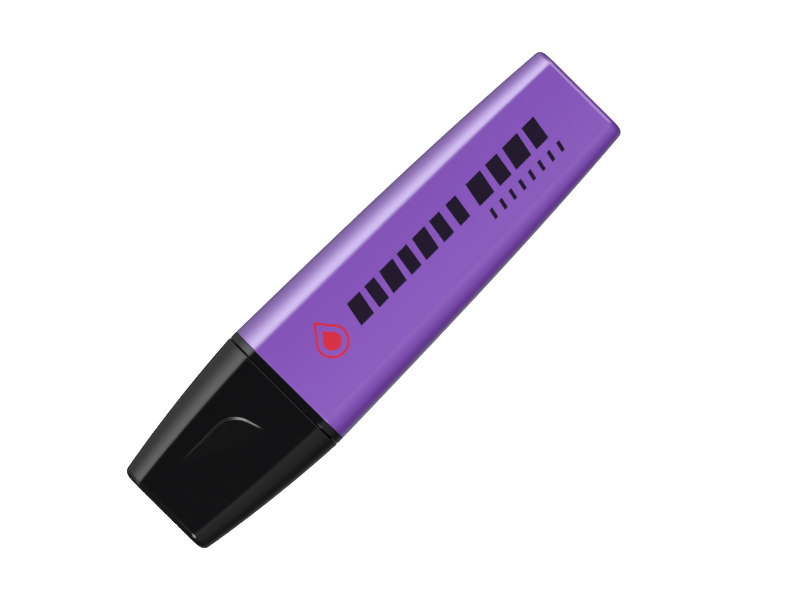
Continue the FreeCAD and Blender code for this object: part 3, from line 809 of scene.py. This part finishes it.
def rib_set(name, start, end, near, reach_at, turn=0.0, aside=0.0):
    """Two ribs, one each side of the axis, whose outer edges follow the inside of a wall."""
    reach = reach_at(start)
    made = grow(
        name, ribs, Count=2, Turn=math.radians(turn), Length=end - start, Near=near, Reach=reach,
        Flare=(reach_at(end) - reach) / (end - start), Thick=RIB_THICK, Aside=aside,
    )
    for vert in made.data.vertices:
        vert.co.x += start
        vert.co.z += AXIS_Z
    return made


def joined(name, parts):
    """One piece from several, with its long edges softened."""
    work = bmesh.new()
    for part in parts:
        work.from_mesh(part.data)
        bpy.data.objects.remove(part)
    bmesh.ops.bevel(work, geom=work.edges, offset=RIB_BREAK, segments=2, profile=0.5, affect="EDGES")
    mesh = bpy.data.meshes.new(name)
    work.to_mesh(mesh)
    work.free()
    tidy_mesh(mesh)
    return new_object(name, mesh)


def make_cap_ribs():
    """Four ribs in the cap, from its floor to the liner's mouth, that hold the liner in the middle."""
    start, end = liner_low[0], liner_high[0]

    def sideways(x):
        return cap_section(x)[0] / 2 - CAP_WALL + RIB_SINK

    def upwards(x):
        return cap_section(x)[1] / 2 - CAP_WALL + RIB_SINK

    sides = rib_set("sides", start, end, liner_high[1], sideways)
    broad = rib_set("broad", start, end, liner_high[2] - AXIS_Z, upwards, turn=90)
    return joined("cap_ribs", [sides, broad])


def make_barrel_ribs():
    """Ribs along the barrel's inside that hold the reservoir off its walls, and two stops behind it."""
    start, end = front_high[0] + PLUG_CLEAR, TAIL_X - TAIL_FLOOR
    side_reach, broad_reach = film_high[1] + CORE_CLEAR, film_high[2] - AXIS_Z + CORE_CLEAR
    sink = BARREL_WALL - RIB_SINK

    def sideways(x):
        return barrel_section(x)[0] / 2 - sink

    def upwards(x):
        return barrel_section(x)[1] / 2 - sink

    sets = [rib_set("side", start, end, side_reach, sideways)]
    sets.append(rib_set("stop", film_high[0], end, side_reach - STOP_GRIP, sideways))
    for column in (-1, 0, 1):
        sets.append(rib_set("broad", start, end, broad_reach, upwards, turn=90, aside=column * RIB_PITCH))
    return joined("barrel_ribs", sets)


cap_ribs = make_cap_ribs()
barrel_ribs = make_barrel_ribs()

# ------------------------------------------------------------------------------------- finish and ride
paint = {
    cap_ribs: black,
    barrel_ribs: purple,
    barrel: purple,
    cap: black,
    front_section: black,
    nib: felt,
    drop_rim: red_ink,
    drop_fill: red_ink,
    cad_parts["inner_cap"]: liner_black,
    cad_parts["reservoir_core"]: bundle,
    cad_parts["reservoir_wrap"]: film,
}
for made, material in paint.items():
    made.data.materials.clear()
    made.data.materials.append(material)

for made, node in ((barrel, "barrel"), (front_section, "front_section"), (nib, "nib")):
    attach(made, "pen")
    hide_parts(node)
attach(cap, "cap")
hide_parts("cap_shell")
for made in marks + [drop_rim, drop_fill, barrel_ribs]:
    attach(made, "pen")
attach(cap_ribs, "cap")

# --------------------------------------------------------------------------------- floor, light, camera
def make_floor():
    """A pale sheet that the pen's lower broad face rests on."""
    mesh = bpy.data.meshes.new("floor")
    reach = 2.0
    tilt = math.tan(FACE_TILT)
    corners = []
    for x, y in ((-reach, -reach), (reach, -reach), (reach, reach), (-reach, reach)):
        corners.append((x, y, (x - FRONT_X) * tilt - 0.01 * MM))
    mesh.from_pydata(corners, [], [(0, 1, 2, 3)])
    made = new_object("floor", mesh)
    paper, nodes, links, shader = new_material("pale_floor")
    shader.inputs["Base Color"].default_value = (0.9, 0.9, 0.9, 1)
    shader.inputs["Roughness"].default_value = 0.9
    shader.inputs["Emission Color"].default_value = (1, 1, 1, 1)
    shader.inputs["Emission Strength"].default_value = 0.6
    mesh.materials.append(paper)
    made.visible_glossy = made.visible_diffuse = made.visible_shadow = False


def softbox(name, direction, distance, size_x, size_y, power):
    """An area light that looks at the pen from a direction given as (angle from vertical, bearing)."""
    lean, bearing = (math.radians(part) for part in direction)
    data = bpy.data.lights.new(name, "AREA")
    data.shape = "RECTANGLE"
    data.size, data.size_y = size_x, size_y
    data.energy = power
    lamp = bpy.data.objects.new(name, data)
    away = Vector((math.sin(lean) * math.cos(bearing), math.sin(lean) * math.sin(bearing), math.cos(lean)))
    lamp.location = away * distance
    lamp.rotation_mode = "QUATERNION"
    lamp.rotation_quaternion = away.to_track_quat("Z", "X")
    bpy.context.scene.collection.objects.link(lamp)
    return lamp


# Brightness of the studio by angle around the pen's axis, in degrees from straight up towards +Y: a wide
# softbox over one long edge that fades towards the table, a weak panel over the other, and a dark ceiling.
STUDIO = (
    (-150, 0.3), (-100, 0.12), (-80, 0.25), (-60, 0.45), (-14, 0.62), (-6, 0.05),
    (8, 0.05), (13, 3.9), (32, 3.9), (45, 3.0), (62, 2.1), (78, 1.3), (98, 0.85), (125, 0.45), (150, 0.1),
)
# The softboxes are full over the middle of the pen's length and dimmer beyond its ends: where they begin and
# finish dimming, as the part of a direction that lies along the pen, and what share of the light is left.
STUDIO_REACH, STUDIO_ENDS = (0.3, 0.7), 0.42


def make_studio():
    """The studio's soft light as a sky that is long along the pen. What the camera sees of it is white."""
    world = bpy.data.worlds.new("studio")
    bpy.context.scene.world = world
    world.use_nodes = True
    nodes, links = world.node_tree.nodes, world.node_tree.links
    seen = nodes["Background"]
    seen.inputs["Color"].default_value = (1, 1, 1, 1)
    coords = nodes.new("ShaderNodeTexCoord")
    parts = nodes.new("ShaderNodeSeparateXYZ")
    around = nodes.new("ShaderNodeMath")
    around.operation = "ARCTAN2"
    share = nodes.new("ShaderNodeMapRange")
    share.inputs["From Min"].default_value, share.inputs["From Max"].default_value = -math.pi, math.pi
    links.new(coords.outputs["Generated"], parts.inputs[0])
    links.new(parts.outputs["Y"], around.inputs[0])
    links.new(parts.outputs["Z"], around.inputs[1])
    links.new(around.outputs[0], share.inputs["Value"])

    brightest = max(level for angle, level in STUDIO)
    ramp = nodes.new("ShaderNodeValToRGB")
    stops = ramp.color_ramp.elements
    while len(stops) < len(STUDIO):
        stops.new(0.5)
    for stop, (angle, level) in zip(stops, STUDIO):
        stop.position = (angle + 180) / 360
        stop.color = (*[level / brightest] * 3, 1)
    links.new(share.outputs["Result"], ramp.inputs["Fac"])
    aside = nodes.new("ShaderNodeMath")
    aside.operation = "ABSOLUTE"
    links.new(parts.outputs["X"], aside.inputs[0])
    reach = nodes.new("ShaderNodeMapRange")
    reach.inputs["From Min"].default_value, reach.inputs["From Max"].default_value = STUDIO_REACH
    reach.inputs["To Min"].default_value = brightest
    reach.inputs["To Max"].default_value = brightest * STUDIO_ENDS
    links.new(aside.outputs[0], reach.inputs["Value"])
    light = nodes.new("ShaderNodeBackground")
    links.new(reach.outputs["Result"], light.inputs["Strength"])
    links.new(ramp.outputs["Color"], light.inputs["Color"])

    ray = nodes.new("ShaderNodeLightPath")
    either = nodes.new("ShaderNodeMixShader")
    links.new(ray.outputs["Is Camera Ray"], either.inputs["Fac"])
    links.new(light.outputs[0], either.inputs[1])
    links.new(seen.outputs[0], either.inputs[2])
    links.new(either.outputs[0], nodes["World Output"].inputs["Surface"])


make_floor()
make_studio()
fill = softbox("near_fill", direction=(15, -90), distance=0.05, size_x=0.01, size_y=0.3, power=0.06)
fill.visible_glossy = fill.visible_camera = False
softbox("bend_lamp", direction=(41, 201), distance=0.7, size_x=0.35, size_y=0.2, power=2.2)
softbox("tail_panel", direction=(50, 0), distance=0.7, size_x=0.4, size_y=0.3, power=0.7)

LENS, SENSOR, FRAME_WIDTH = 200, 36, 142.1 * MM
ROLL = math.radians(45.2)
SHIFT_RIGHT, SHIFT_UP = 4.8 * MM, 0.18 * MM
camera_data = bpy.data.cameras.new("camera")
camera_data.lens, camera_data.sensor_width = LENS, SENSOR
camera = bpy.data.objects.new("camera", camera_data)
right = Vector((math.cos(ROLL), -math.sin(ROLL), 0))
up = Vector((math.sin(ROLL), math.cos(ROLL), 0))
distance = FRAME_WIDTH * LENS / SENSOR
camera.location = right * SHIFT_RIGHT + up * SHIFT_UP + Vector((0, 0, AXIS_Z + distance))
camera.rotation_euler = (0, 0, -ROLL)
bpy.context.scene.collection.objects.link(camera)
bpy.context.scene.camera = camera
bpy.context.scene.view_settings.view_transform = "Standard"
